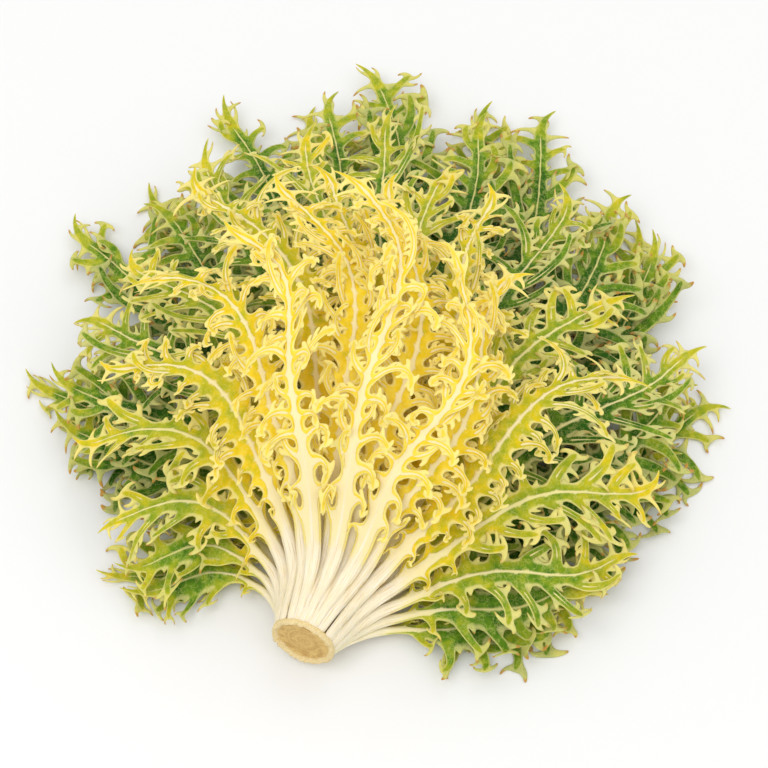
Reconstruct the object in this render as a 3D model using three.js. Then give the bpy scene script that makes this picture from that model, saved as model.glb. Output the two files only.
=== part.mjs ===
import * as THREE from 'three';

// A head of curly endive, cut from its root and lying on a table, in millimetres with +Z up.
// The cut stem points toward -Y. The leaves fan out toward +Y in whorls that lie one on
// another, from long green leaves on the surface to the short yellow ones of the heart.
// Azimuths are in degrees from +Y toward +X, about the centre of the stem.

// Stem: a ball of solid tissue with one side cut off flat
const ballRadius = 16.5;
const ballHeight = 17.5;
const cutRadius = 14.4;
const faceRecess = 0.8;
const rimWidth = 2.6;
const stemYaw = 12.5;
const stemPitch = 9;
const stemSides = 26;
const ballRings = 7;

// Roots of the leaves on the ball
const rootGap = 0.35;
const rootSpan = 42;
const rootSpread = 0.74;
const ribRootShare = 0.42;

// Head: its outline from above, as distances from the stem at even azimuths from one end of
// its span to the other, the fan's turn and how much closer leaves stand in its middle, and
// the dome that the highest whorl follows
const outlineReaches = [64, 114, 184, 246, 308, 306, 288, 246, 182, 106, 52];
const outlineSpan = 100;
const fanTurn = -6;
const fanPower = 1.2;
const domeFoot = 31;
const domeRise = 84;
const domeLength = 45;
const sideDrop = 0.35;
const rimDrop = 0.5;
const rimStart = 0.55;
const rootZone = 60;
const floorHeight = 0.4;

// Whorls from the surface up: leaves, half spread, slot from the surface 0 to the dome 1,
// reach as a share of the outline's, and colour
const whorls = [
  { name: 'ground', leaves: 8, spread: 80, slot: 0, reach: 0.98, colour: 'green' },
  { name: 'skirt', leaves: 9, spread: 84, slot: 0.12, reach: 1, colour: 'green' },
  { name: 'outer', leaves: 8, spread: 77, slot: 0.25, reach: 0.94, colour: 'green' },
  { name: 'middle', leaves: 7, spread: 69, slot: 0.38, reach: 0.88, colour: 'lime' },
  { name: 'upper', leaves: 6, spread: 58, slot: 0.52, reach: 0.8, colour: 'lime' },
  { name: 'inner', leaves: 5, spread: 46, slot: 0.67, reach: 0.72, colour: 'yellow' },
  { name: 'heart', leaves: 4, spread: 34, slot: 0.83, reach: 0.64, colour: 'yellow' },
  { name: 'crest', leaves: 3, spread: 25, slot: 1, reach: 0.56, colour: 'yellow' },
];

// Lean and wave of a leaf inside the free band between its neighbour whorls, and how far
// the right-hand lobes of the crest curl up over it
const bandShare = 0.46;
const leafHalfWidth = 30;
const rollShare = 0.72;
const waveShare = 0.25;
const groundCups = [0.95, 0];
const crestCurl = 10;

// Rib: half widths and half depths at even steps from root to tip
const ribHalfWidths = [2.6, 5.4, 4, 1.6];
const ribHalfDepths = [1.1, 1.6, 1.2, 0.6];
const ribFlare = 12;
const ribEdgeHalfDepth = 0.5;
const petioleLengths = [100, 40];
const petioleMost = 0.4;
const petioleRows = 3;

// Blade: side lobes on the rib and a three-fingered end
const bladeHalfDepth = 0.4;
const tipHalfDepth = 0.32;
const fullLeaf = 210;
const smallestSize = 0.6;
const fewestLobes = 3;
const lobeSpacing = 18;
const lobeLength = 27;
const lobeHalfWidth = 3.3;
const lobeBend = 0.55;
const lobeAngles = [62, 42];
const hookAngles = [95, 70];
const lobeGrowth = { first: 0.5, grown: 0.4, fading: 0.6, last: 0.55 };
const lobeLifts = { near: 0.5, far: 0.8, tooth: 0.6, least: 0.7 };
const tooth = { forward: 4.5, outward: 1.5 };
const groundRoom = 0.72;
const terminal = {
  length: 17,
  inner: { along: 0.45, across: 0 },
  shoulder: { along: 0.5, across: 0.26, lift: 0.2 },
  side: { along: 0.8, across: 0.62, lift: 0.4 },
};

// Seeded differences between leaves
const turnJitter = 0.1;
const lengthJitter = 0.05;
const bendJitter = 6;
const leaveJitter = 6;
const hookJitter = 14;
const leastBend = 0.01;

const materials = {
  green: new THREE.MeshStandardMaterial({ color: 0x8fa43a, roughness: 0.55, metalness: 0 }),
  lime: new THREE.MeshStandardMaterial({ color: 0xbcc14a, roughness: 0.55, metalness: 0 }),
  yellow: new THREE.MeshStandardMaterial({ color: 0xf0d548, roughness: 0.55, metalness: 0 }),
  stem: new THREE.MeshStandardMaterial({ color: 0xd8bd84, roughness: 0.75, metalness: 0 }),
};

const radians = THREE.MathUtils.degToRad;
const mix = THREE.MathUtils.lerp;
const smooth = THREE.MathUtils.smoothstep;

// The same draw from 0 to 1 for the same seed
function draw(seed) {
  const wave = Math.sin(seed * 12.9898) * 43758.5453;
  return wave - Math.floor(wave);
}

function jitter(seed, size) {
  return (2 * draw(seed) - 1) * size;
}

// Value at a share from 0 to 1 along an even list
function along(values, share) {
  const place = THREE.MathUtils.clamp(share, 0, 1) * (values.length - 1);
  const first = Math.min(Math.floor(place), values.length - 2);
  return mix(values[first], values[first + 1], place - first);
}

// Distance from the stem to the head's outline at an azimuth
function outlineReach(azimuth) {
  return along(outlineReaches, 0.5 + azimuth / (2 * outlineSpan));
}

// Height of the dome over a point
function domeHeight(radius, azimuth) {
  const rise = domeFoot + domeRise * (1 - Math.exp(-(radius - ballRadius) / domeLength));
  const side = 1 - sideDrop * Math.sin(radians(azimuth)) ** 2;
  const rim = 1 - rimDrop * smooth(radius / outlineReach(azimuth), rimStart, 1);
  return rise * side * rim;
}

// Height over a point of the sheet at a slot, which starts at its root's height on the ball
function sheetHeight(x, y, slot, rootHeight) {
  const radius = Math.hypot(x, y);
  const azimuth = THREE.MathUtils.radToDeg(Math.atan2(x, y));
  const laid = floorHeight + Math.max(slot, 0) * domeHeight(radius, azimuth);
  return mix(rootHeight, laid, smooth(radius, ballRadius, rootZone));
}

// Part of a slot that a whorl's leaves may fill above and below their own sheet
function bandOf(order) {
  const gaps = [order, order + 1]
    .filter((upper) => upper > 0 && upper < whorls.length)
    .map((upper) => whorls[upper].slot - whorls[upper - 1].slot);
  return bandShare * Math.min(...gaps);
}

// A flat leaf: u runs along its rib, v across it, and faces go anticlockwise from above
class LeafSheet {
  constructor() {
    this.points = [];
    this.faces = [];
  }

  point(u, v, lift, half) {
    this.points.push({ u, v, lift, half });
    return this.points.length - 1;
  }

  face(a, b, c, side = 1) {
    this.faces.push(side > 0 ? [a, b, c] : [a, c, b]);
  }
}

// A side lobe on the rib's edge: it leaves forward, hooks outward and carries one tooth
function addLobe(sheet, side, first, last, length, place, seed) {
  const start = sheet.points[first];
  const end = sheet.points[last];
  const lift = (seed % 2 ? 1 : -1) * mix(lobeLifts.least, 1, draw(seed));
  const leave = radians(mix(...lobeAngles, place) + jitter(seed + 3, leaveJitter));
  const hook = radians(mix(...hookAngles, place) + jitter(seed + 5, hookJitter));
  const middleU = (start.u + end.u) / 2 + lobeBend * length * Math.cos(leave);
  const middleV = Math.abs(start.v + end.v) / 2 + lobeBend * length * Math.sin(leave);
  const acrossU = lobeHalfWidth * Math.sin(leave);
  const acrossV = lobeHalfWidth * Math.cos(leave);
  const tipU = middleU + (1 - lobeBend) * length * Math.cos(hook);
  const tipV = middleV + (1 - lobeBend) * length * Math.sin(hook);
  const toothU = (middleU + acrossU + tipU) / 2 + tooth.forward;
  const toothV = (middleV - acrossV + tipV) / 2 + tooth.outward;
  const point = (u, v, share, half) => sheet.point(u, side * v, share * lift, half);
  const near = point(middleU - acrossU, middleV + acrossV, lobeLifts.near, bladeHalfDepth);
  const far = point(middleU + acrossU, middleV - acrossV, lobeLifts.far, bladeHalfDepth);
  const tip = point(tipU, tipV, 1, tipHalfDepth);
  const toothTip = point(toothU, toothV, lobeLifts.tooth, tipHalfDepth);
  sheet.face(first, near, far, side);
  sheet.face(first, far, last, side);
  sheet.face(near, tip, far, side);
  sheet.face(far, tip, toothTip, side);
}

// The leaf's end: a middle finger with a shorter one on each side
function addTerminal(sheet, base, size) {
  const start = sheet.points[base.centre].u;
  const long = terminal.length * size;
  const point = (spot, side, half) => sheet.point(
    start + spot.along * long,
    side * spot.across * long,
    side * (spot.lift ?? 0),
    half,
  );
  const inner = point(terminal.inner, 1, bladeHalfDepth);
  const tip = sheet.point(start + long, 0, 0, tipHalfDepth);
  [[-1, base.left], [1, base.right]].forEach(([side, corner]) => {
    const shoulder = point(terminal.shoulder, side, bladeHalfDepth);
    const finger = point(terminal.side, side, tipHalfDepth);
    sheet.face(base.centre, corner, shoulder, side);
    sheet.face(base.centre, shoulder, inner, side);
    sheet.face(inner, shoulder, tip, side);
    sheet.face(corner, finger, shoulder, side);
  });
}

// A whole leaf laid flat: a bare petiole, then a lobed blade down each side of the rib
function leafSheet(length, petiole, rootHalfWidth, room, seed) {
  const sheet = new LeafSheet();
  const size = THREE.MathUtils.clamp(Math.sqrt(length / fullLeaf), smallestSize, 1);
  const petioleShare = Math.min(petiole / length, petioleMost);
  const bladeShare = 1 - terminal.length * size / length;
  const lobes = Math.max(fewestLobes, Math.round((bladeShare - petioleShare) * length / lobeSpacing));
  let previous = null;
  for (let row = -petioleRows; row <= lobes; row += 1) {
    const share = row < 0
      ? petioleShare * (1 + row / petioleRows)
      : mix(petioleShare, bladeShare, row / lobes);
    const u = share * length;
    const rootWidth = rootHalfWidth * (1 + u / ribFlare);
    const halfWidth = Math.min(along(ribHalfWidths, share) * size, rootWidth);
    const left = sheet.point(u, -halfWidth, 0, ribEdgeHalfDepth);
    const centre = sheet.point(u, 0, 0, along(ribHalfDepths, share));
    const right = sheet.point(u, halfWidth, 0, ribEdgeHalfDepth);
    if (previous) {
      sheet.face(previous.left, previous.centre, centre);
      sheet.face(previous.left, centre, left);
      sheet.face(previous.centre, previous.right, right);
      sheet.face(previous.centre, right, centre);
    }
    if (row > 0) {
      const place = (row - 0.5) / lobes;
      const growth = mix(lobeGrowth.first, 1, smooth(place, 0, lobeGrowth.grown));
      const fading = mix(1, lobeGrowth.last, smooth(place, lobeGrowth.fading, 1));
      const lobe = Math.min(lobeLength * size * growth * fading, room(u));
      addLobe(sheet, -1, previous.left, left, lobe, place, seed + 2 * row);
      addLobe(sheet, 1, previous.right, right, lobe, place, seed + 2 * row + 1);
    }
    previous = { left, centre, right };
  }
  addTerminal(sheet, previous, size);
  return sheet;
}

// Doubles a placed sheet into a closed solid: one face above, one below and walls between
function thicken(points, faces) {
  const tops = points.map(({ at, normal, half }) => {
    const top = at.clone().addScaledVector(normal, half);
    return [top.x, top.y, Math.max(top.z, 2 * tipHalfDepth)];
  });
  const bottoms = points.map(({ at, normal, half }) => {
    const bottom = at.clone().addScaledVector(normal, -half);
    return [bottom.x, bottom.y, Math.max(bottom.z, 0)];
  });
  const count = points.length;
  const edgesOf = ([a, b, c]) => [[a, b], [b, c], [c, a]];
  const edges = new Set(faces.flatMap(edgesOf).map(([p, q]) => `${p},${q}`));
  const index = [];
  faces.forEach((face) => {
    const [a, b, c] = face;
    index.push(a, b, c, c + count, b + count, a + count);
    edgesOf(face).forEach(([p, q]) => {
      if (!edges.has(`${q},${p}`)) {
        index.push(p + count, q + count, q, p + count, q, p);
      }
    });
  });
  const geometry = new THREE.BufferGeometry();
  const positions = [...tops, ...bottoms].flat();
  geometry.setAttribute('position', new THREE.Float32BufferAttribute(positions, 3));
  geometry.setIndex(index);
  geometry.computeVertexNormals();
  return geometry;
}

// Bends a flat leaf along its rib's arc and lays it on its whorl's sheet
function placeLeaf(sheet, order, rib, rootRadius, cup) {
  const band = bandOf(order);
  const start = radians(rib.azimuth);
  const turn = radians(rib.bend) / rib.length;
  const rootHeight = ballHeight + (ballRadius + rootGap) * Math.sin(rootElevation(order));
  const shingle = (order % 2 ? 1 : -1) * rollShare;
  const height = (x, y, v, lift) => {
    const across = v / leafHalfWidth;
    const lean = order === 0 ? cup * Math.abs(across) : shingle * across + waveShare * lift;
    const curl = order === whorls.length - 1 ? crestCurl * Math.max(across, 0) ** 2 : 0;
    return sheetHeight(x, y, whorls[order].slot + band * lean, rootHeight) + curl;
  };
  const points = sheet.points.map(({ u, v, lift, half }) => {
    const heading = start + turn * u;
    const ribX = rootRadius * Math.sin(start) + (Math.cos(start) - Math.cos(heading)) / turn;
    const ribY = rootRadius * Math.cos(start) + (Math.sin(heading) - Math.sin(start)) / turn;
    const x = ribX + v * Math.cos(heading);
    const y = ribY - v * Math.sin(heading);
    const slopeX = height(x + 0.5, y, v, lift) - height(x - 0.5, y, v, lift);
    const slopeY = height(x, y + 0.5, v, lift) - height(x, y - 0.5, v, lift);
    const at = new THREE.Vector3(x, y, height(x, y, v, lift));
    const normal = new THREE.Vector3(-slopeX, -slopeY, 1).normalize();
    return { at, normal, half };
  });
  return thicken(points, sheet.faces);
}

// Elevation on the ball where a whorl is rooted
function rootElevation(order) {
  return radians(mix(-rootSpan, rootSpan, order / (whorls.length - 1)));
}

// Distance from the ball's upright axis at which a whorl's ribs start clear of the ball
function rootRadiusOf(order) {
  const outer = ballRadius + rootGap;
  const offset = Math.abs(outer * Math.sin(rootElevation(order)));
  return Math.sqrt(outer ** 2 - Math.max(offset - ribHalfDepths[0], 0) ** 2);
}

function addWhorl(head, order) {
  const whorl = whorls[order];
  const places = Array.from({ length: whorl.leaves }, (_, leaf) => {
    const across = 2 * leaf / (whorl.leaves - 1) - 1;
    return whorl.spread * Math.sign(across) * Math.abs(across) ** fanPower;
  });
  const pitch = Math.min(...places.slice(1).map((place, leaf) => place - places[leaf]));
  const rootRadius = rootRadiusOf(order);
  const rootHalfWidth = ribRootShare * rootSpread * radians(pitch) * rootRadius;
  const petiole = mix(...petioleLengths, order / (whorls.length - 1));
  const room = (u) => (order === 0 ? groundRoom * radians(pitch) * (u + rootRadius) : lobeLength);
  places.forEach((place, leaf) => {
    const seed = 100 * order + 7 * leaf + 1;
    const tipAzimuth = fanTurn + place + pitch * jitter(seed, turnJitter);
    const azimuth = stemYaw + rootSpread * place;
    const bend = 2 * (tipAzimuth - azimuth) + jitter(seed + 1, bendJitter) + leastBend;
    const reach = whorl.reach * (1 + jitter(seed + 2, lengthJitter)) * outlineReach(tipAzimuth);
    const halfTurn = radians(Math.abs(bend) / 2);
    const length = (reach - rootRadius) * halfTurn / Math.sin(halfTurn);
    const sheet = leafSheet(length, petiole, rootHalfWidth, room, seed);
    const rib = { azimuth, bend, length };
    const geometry = placeLeaf(sheet, order, rib, rootRadius, groundCups[leaf % 2]);
    const mesh = new THREE.Mesh(geometry, materials[whorl.colour]);
    mesh.name = `${whorl.name}_leaf_${leaf + 1}`;
    head.add(mesh);
  });
}

// The stem, with a raised rim round its recessed cut face
function cutStem() {
  const rimDepth = Math.sqrt(ballRadius ** 2 - cutRadius ** 2);
  const cutAngle = Math.asin(cutRadius / ballRadius);
  const profile = [
    new THREE.Vector2(0, rimDepth - faceRecess),
    new THREE.Vector2(cutRadius - rimWidth, rimDepth - faceRecess),
  ];
  for (let ring = 0; ring <= ballRings; ring += 1) {
    const angle = mix(cutAngle, Math.PI, ring / ballRings);
    const radius = ring < ballRings ? ballRadius * Math.sin(angle) : 0;
    profile.push(new THREE.Vector2(radius, ballRadius * Math.cos(angle)));
  }
  const geometry = new THREE.LatheGeometry(profile.reverse(), stemSides);
  const mesh = new THREE.Mesh(geometry, materials.stem);
  mesh.name = 'cut_stem';
  mesh.rotation.x = radians(180 - stemPitch);
  mesh.position.z = ballHeight;
  const turn = new THREE.Group();
  turn.rotation.z = radians(-stemYaw);
  turn.add(mesh);
  return turn;
}

const head = new THREE.Group();
head.add(cutStem());
for (let order = 0; order < whorls.length; order += 1) {
  addWhorl(head, order);
}

// The origin is under the middle of the head's box, on the surface it lies on
const box = new THREE.Box3().setFromObject(head, true);
head.position.set(-(box.min.x + box.max.x) / 2, -(box.min.y + box.max.y) / 2, -box.min.z);

export default head;
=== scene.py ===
import math
import random

import bmesh
import bpy
from mathutils import Matrix, Quaternion, Vector, noise


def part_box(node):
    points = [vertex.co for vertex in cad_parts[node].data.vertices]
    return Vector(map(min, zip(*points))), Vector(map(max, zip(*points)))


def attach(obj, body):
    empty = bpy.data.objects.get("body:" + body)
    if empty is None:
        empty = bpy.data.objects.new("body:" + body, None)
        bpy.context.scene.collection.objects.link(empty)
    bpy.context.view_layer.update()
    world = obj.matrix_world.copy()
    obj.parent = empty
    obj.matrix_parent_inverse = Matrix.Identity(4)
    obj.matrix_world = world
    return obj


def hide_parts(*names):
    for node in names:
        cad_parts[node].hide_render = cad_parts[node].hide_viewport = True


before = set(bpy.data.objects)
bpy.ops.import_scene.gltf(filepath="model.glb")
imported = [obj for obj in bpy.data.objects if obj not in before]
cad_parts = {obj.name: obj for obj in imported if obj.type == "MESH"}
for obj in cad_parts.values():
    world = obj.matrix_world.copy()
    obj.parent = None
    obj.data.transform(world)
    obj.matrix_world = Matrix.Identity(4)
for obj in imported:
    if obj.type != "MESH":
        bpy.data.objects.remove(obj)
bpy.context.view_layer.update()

# A head of curly endive lying on a pale table. Lengths are in millimetres until a point is
# placed, and azimuths are in degrees from +Y toward +X about the centre of the stem.
mm = 0.001

stem = dict(ballRadius=16.5, ballHeight=17.5, cutRadius=14.4, yaw=12.5, pitch=9,
            rootGap=0.35, rootHalfDepth=1.1, rootSpan=42, rootSpread=0.74)

head = dict(outlineReaches=(64, 114, 184, 246, 308, 306, 288, 246, 182, 106, 52), outlineSpan=100,
            fanTurn=-6, fanPower=1.2, domeFoot=31, domeRise=84, domeLength=45, sideDrop=0.35,
            rimDrop=0.5, rimStart=0.55, rootZone=60, floorHeight=0.4, turnJitter=0.1,
            lengthJitter=0.05, bendJitter=6, leastBend=0.01)

# Whorls from the surface up. tone runs from 0, blanched yellow, to 1, deep green, and web is
# the width of the blade beside the rib
whorls = [
    dict(name="ground", leaves=8, spread=80, slot=0.0, reach=0.98, colour="leaf_green", tone=1.1, web=11),
    dict(name="skirt", leaves=9, spread=84, slot=0.12, reach=1.0, colour="leaf_green", tone=1.08, web=10),
    dict(name="outer", leaves=8, spread=77, slot=0.25, reach=0.94, colour="leaf_green", tone=1.0, web=8),
    dict(name="middle", leaves=7, spread=69, slot=0.38, reach=0.88, colour="leaf_lime", tone=0.92, web=5.5),
    dict(name="upper", leaves=6, spread=58, slot=0.52, reach=0.8, colour="leaf_lime", tone=0.6, web=4.2),
    dict(name="inner", leaves=5, spread=46, slot=0.67, reach=0.72, colour="leaf_yellow", tone=0.3, web=6),
    dict(name="heart", leaves=4, spread=34, slot=0.83, reach=0.64, colour="leaf_yellow", tone=0.16, web=3.6),
    dict(name="crest", leaves=3, spread=25, slot=1.0, reach=0.56, colour="leaf_yellow", tone=0.0, web=1.2),
]

crest = len(whorls) - 1

blade = dict(bandShare=0.46, halfWidth=30, roll=0.72, groundCups=(0.95, 0.0), petioleLengths=(100, 40),
             petioleMost=0.4, fullLeaf=210, smallestSize=0.6, terminal=17)


def mix(first, last, share):
    return first + (last - first) * share


def smooth(value, low, high):
    share = min(max((value - low) / (high - low), 0.0), 1.0)
    return share * share * (3 - 2 * share)


def along(values, share):
    place = min(max(share, 0.0), 1.0) * (len(values) - 1)
    first = min(int(place), len(values) - 2)
    return mix(values[first], values[first + 1], place - first)


def draw(seed):
    wave = math.sin(seed * 12.9898) * 43758.5453
    return wave - math.floor(wave)


def jitter(seed, size):
    return (2 * draw(seed) - 1) * size


# Centre of the stem's ball, from the box of its solid
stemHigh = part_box("cut_stem")[1] / mm
stemCentre = Vector((stemHigh.x - stem["ballRadius"], stemHigh.y - stem["ballRadius"], stem["ballHeight"]))
cutDirection = Vector((
    -math.sin(math.radians(stem["yaw"])) * math.cos(math.radians(stem["pitch"])),
    -math.cos(math.radians(stem["yaw"])) * math.cos(math.radians(stem["pitch"])),
    math.sin(math.radians(stem["pitch"])),
))


# The sheets that the whorls lie on, in millimetres about the stem's centre

def outlineReach(azimuth):
    return along(head["outlineReaches"], 0.5 + azimuth / (2 * head["outlineSpan"]))


# Azimuths of a whorl's leaves about the middle of the fan, where they stand closer
def leafPlaces(whorl):
    shares = [2 * leaf / (whorl["leaves"] - 1) - 1 for leaf in range(whorl["leaves"])]
    return [whorl["spread"] * math.copysign(abs(share) ** head["fanPower"], share) for share in shares]


def domeHeight(radius, azimuth):
    rise = 1 - math.exp(-(radius - stem["ballRadius"]) / head["domeLength"])
    side = 1 - head["sideDrop"] * math.sin(math.radians(azimuth)) ** 2
    rim = 1 - head["rimDrop"] * smooth(radius / outlineReach(azimuth), head["rimStart"], 1)
    return (head["domeFoot"] + head["domeRise"] * rise) * side * rim


def sheetHeight(x, y, slot, rootHeight):
    radius = math.hypot(x, y)
    laid = head["floorHeight"] + max(slot, 0.0) * domeHeight(radius, math.degrees(math.atan2(x, y)))
    return mix(rootHeight, laid, smooth(radius, stem["ballRadius"], head["rootZone"]))


def bandOf(order):
    gaps = [whorls[upper]["slot"] - whorls[upper - 1]["slot"]
            for upper in (order, order + 1) if 0 < upper < len(whorls)]
    return blade["bandShare"] * min(gaps)


def rootElevation(order):
    return math.radians(mix(-stem["rootSpan"], stem["rootSpan"], order / (len(whorls) - 1)))


print("frame loaded, stem centre", [round(value, 2) for value in stemCentre])


# Where a leaf's rib runs: out of the cut stem's rim, then an arc on its whorl's sheet that
# sways a little. widest has a value for each whorl, from the surface up, and hidden for the
# lowest four: the share of a leaf's length that the head covers, where it needs fewer lobes
neck = dict(end=17, rimRadius=12.9, rimDepth=1.0, rimSlope=0.45, rimAt=-12, rimHalfWidth=2.3,
            endHalfWidth=3.9, flare=0.09)

ribShape = dict(widest=(3.6, 3.8, 4.0, 4.2, 4.4, 4.6, 4.8, 5.4), narrowed=0.27, narrowing=(0.25, 1.0),
                crestNarrowing=(0.45, 1.45), tipNarrowed=0.4, tipFrom=20, tipTo=0.9, sway=(6, 16),
                swayGrows=(0.2, 0.9), swayWaves=5.5, hidden=(0.55, 0.55, 0.5, 0.4), hiddenWithin=50,
                room=1.15)


class Rib:
    def __init__(self, order, leaf):
        whorl = whorls[order]
        self.order = order
        self.whorl = whorl
        self.name = f"{whorl['name']}_leaf_{leaf + 1}"
        self.seed = 100 * order + 7 * leaf + 1
        self.cup = blade["groundCups"][leaf % 2]
        places = leafPlaces(whorl)
        pitch = min(last - first for first, last in zip(places, places[1:]))
        place = places[leaf]
        tipAzimuth = head["fanTurn"] + place + pitch * jitter(self.seed, head["turnJitter"])
        azimuth = stem["yaw"] + stem["rootSpread"] * place
        bend = 2 * (tipAzimuth - azimuth) + jitter(self.seed + 1, head["bendJitter"]) + head["leastBend"]
        outer = stem["ballRadius"] + stem["rootGap"]
        elevation = rootElevation(order)
        self.rootHeight = stem["ballHeight"] + outer * math.sin(elevation)
        rootSide = max(abs(outer * math.sin(elevation)) - stem["rootHalfDepth"], 0)
        self.rootRadius = math.sqrt(outer ** 2 - rootSide ** 2)
        share = whorl["reach"] * (1 + jitter(self.seed + 2, head["lengthJitter"]))
        halfTurn = math.radians(abs(bend) / 2)
        self.length = ((share * outlineReach(tipAzimuth) - self.rootRadius)
                       * halfTurn / math.sin(halfTurn))
        self.start = math.radians(azimuth)
        self.turn = math.radians(bend) / self.length
        self.size = min(max(math.sqrt(self.length / blade["fullLeaf"]), blade["smallestSize"]), 1)
        petiole = mix(*blade["petioleLengths"], order / (len(whorls) - 1))
        self.petiole = min(petiole, blade["petioleMost"] * self.length)
        self.ribWidest = ribShape["widest"][order] * self.size
        self.endLighter = tones["endLighter"] * min(whorl["tone"] + tones["endLeast"], 1)
        self.sideLighter = tones["sideLighter"] * smooth(abs(place), *tones["sideFrom"])
        self.sway = mix(*ribShape["sway"], order / (len(whorls) - 1))
        covered = order < len(ribShape["hidden"]) and abs(place) < ribShape["hiddenWithin"]
        self.hidden = ribShape["hidden"][order] * self.length if covered else 0
        self.roomPerLength = math.radians(ribShape["room"] * pitch)
        self.band = bandOf(order)
        self.shingle = (1 if order % 2 else -1) * blade["roll"]
        self.layNeck(elevation)

    # The neck joins the rim to the sheet in one smooth curve, its flat side turned to the stem
    def layNeck(self, elevation):
        root = Vector((math.sin(self.start) * math.cos(elevation),
                       math.cos(self.start) * math.cos(elevation), math.sin(elevation)))
        spoke = (root - cutDirection * root.dot(cutDirection)).normalized()
        flat = math.sqrt(stem["ballRadius"] ** 2 - stem["cutRadius"] ** 2)
        self.rimPoint = (spoke * neck["rimRadius"] + cutDirection * (flat - neck["rimDepth"])
                         + Vector((0, 0, stem["ballHeight"])))
        self.neckPoint = self.onSheet(0, neck["end"], 0)
        self.neckLength = (self.neckPoint - self.rimPoint).length
        self.rimAlong = (spoke * neck["rimSlope"] - cutDirection).normalized()
        self.neckAlong = (self.onSheet(0, neck["end"] + 1, 0) - self.neckPoint).normalized()
        self.neckAcross = (self.onSheet(1, neck["end"], 0) - self.neckPoint).normalized()
        self.rimAcross = cutDirection.cross(spoke)
        if self.rimAcross.dot(self.neckAcross) < 0:
            self.rimAcross.negate()

    def height(self, x, y, v):
        across = v / blade["halfWidth"]
        lean = self.cup * abs(across) if self.order == 0 else self.shingle * across
        return sheetHeight(x, y, self.whorl["slot"] + self.band * lean, self.rootHeight)

    def onSheet(self, v, u, w, shift=0):
        heading = self.start + self.turn * u
        x = (self.rootRadius * math.sin(self.start)
             + (math.cos(self.start) - math.cos(heading)) / self.turn + (v + shift) * math.cos(heading))
        y = (self.rootRadius * math.cos(self.start)
             + (math.sin(heading) - math.sin(self.start)) / self.turn - (v + shift) * math.sin(heading))
        # The sheet's slope, over a millimetre
        slopeX = self.height(x + 0.5, y, v) - self.height(x - 0.5, y, v)
        slopeY = self.height(x, y + 0.5, v) - self.height(x, y - 0.5, v)
        return Vector((x, y, self.height(x, y, v))) + w * Vector((-slopeX, -slopeY, 1)).normalized()

    def onNeck(self, v, u, w):
        share = 1 + (u - neck["end"]) / self.neckLength
        point, slope = hermite(self.rimPoint, self.rimAlong * self.neckLength, self.neckPoint,
                               self.neckAlong * self.neckLength, share)
        across = self.rimAcross.lerp(self.neckAcross, smooth(share, 0, 1)).normalized()
        return point + across * v + across.cross(slope).normalized() * w

    # The place on the table, about the stem, of a point of the flat leaf
    def place(self, v, u, w):
        share = u / self.length
        shift = (self.sway * smooth(share, *ribShape["swayGrows"])
                 * math.sin(ribShape["swayWaves"] * share + self.seed))
        return self.onNeck(v, u, w) if u < neck["end"] else self.onSheet(v, u, w, shift)

    # How green the leaf is at a place: yellow round the heart, greener outwards and in the lower whorls
    # (partly their own colour, partly painted shade under the leaves above), a little lighter in the leaves
    # at the fan's sides
    def greenness(self, point):
        away = heartDistance(point)
        under = self.whorl["tone"]
        outward = mix(tones["outwardOnTop"], 1, min(under, 1)) * smooth(away, *tones["outwardFrom"])
        # Painted shade, partly own colour: the lower whorls are made greener as if shaded by the leaves
        # above, less so under the heart
        below = under * mix(tones["belowInHeart"], 1, smooth(away, *tones["belowFrom"]))
        return tones["outward"] * outward + tones["below"] * below - self.sideLighter


# Where the yellow heart lies, and how far from it leaves turn green, in shares of its size
tones = dict(heartX=4, heartY=75, heartWidth=66, heartHeight=86, outward=0.62, outwardOnTop=0.55,
             # the lower-whorl greening is partly the leaves' own colour and partly painted shade under the
             # leaves above
             outwardFrom=(0.35, 1.7), below=0.45, belowInHeart=0.6, belowFrom=(0.3, 1.0),
             sideLighter=0.2, sideFrom=(45, 72), endLighter=0.5, endLeast=0.2, endFrom=0.6,
             # the blade and midrib greening on this line is painted shade between the lobes
             terminalLighter=0.03, lobeTipLighter=0.12, bladeShadeGreener=0.1, midribShadeGreener=0.12,
             leastGreen=0.46, leastFrom=(0.35, 0.7))


def heartDistance(point):
    return math.hypot((point.x - tones["heartX"]) / tones["heartWidth"],
                      (point.y - tones["heartY"]) / tones["heartHeight"])


def hermite(first, firstAlong, last, lastAlong, share):
    square, cube = share ** 2, share ** 3
    point = (first * (2 * cube - 3 * square + 1) + firstAlong * (cube - 2 * square + share)
             + last * (3 * square - 2 * cube) + lastAlong * (cube - square))
    slope = (first * (6 * square - 6 * share) + firstAlong * (3 * square - 4 * share + 1)
             + last * (6 * share - 6 * square) + lastAlong * (3 * square - 2 * share))
    return point, slope


# A leaf is grown flat, with v across it as x, u along its rib as y and w off it as z

class LeafCage:
    fields = ("vein", "width", "margin", "cream", "tone", "tip", "across", "lengthwise")

    def __init__(self):
        self.mesh = bmesh.new()
        self.layers = {field: self.mesh.verts.layers.float.new(field) for field in self.fields}
        self.depth = self.mesh.verts.layers.deform.verify()

    def paint(self, vert, thick, **values):
        vert[self.depth][0] = thick / thickest
        for field, value in values.items():
            vert[self.layers[field]] = value

    # Extrudes a row of points to new places and returns the new row
    def grow(self, row, places):
        edges = [self.mesh.edges.get(pair) for pair in zip(row, row[1:])]
        grown = bmesh.ops.extrude_edge_only(self.mesh, edges=edges)["geom"]
        made = {item for item in grown if isinstance(item, bmesh.types.BMVert)}
        nextRow = [next(edge.other_vert(vert) for edge in vert.link_edges
                        if edge.other_vert(vert) in made) for vert in row]
        for vert, place in zip(nextRow, places):
            vert.co = place
        return nextRow


thickest = 4.0   # every point's weight for the wall is its share of this

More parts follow.
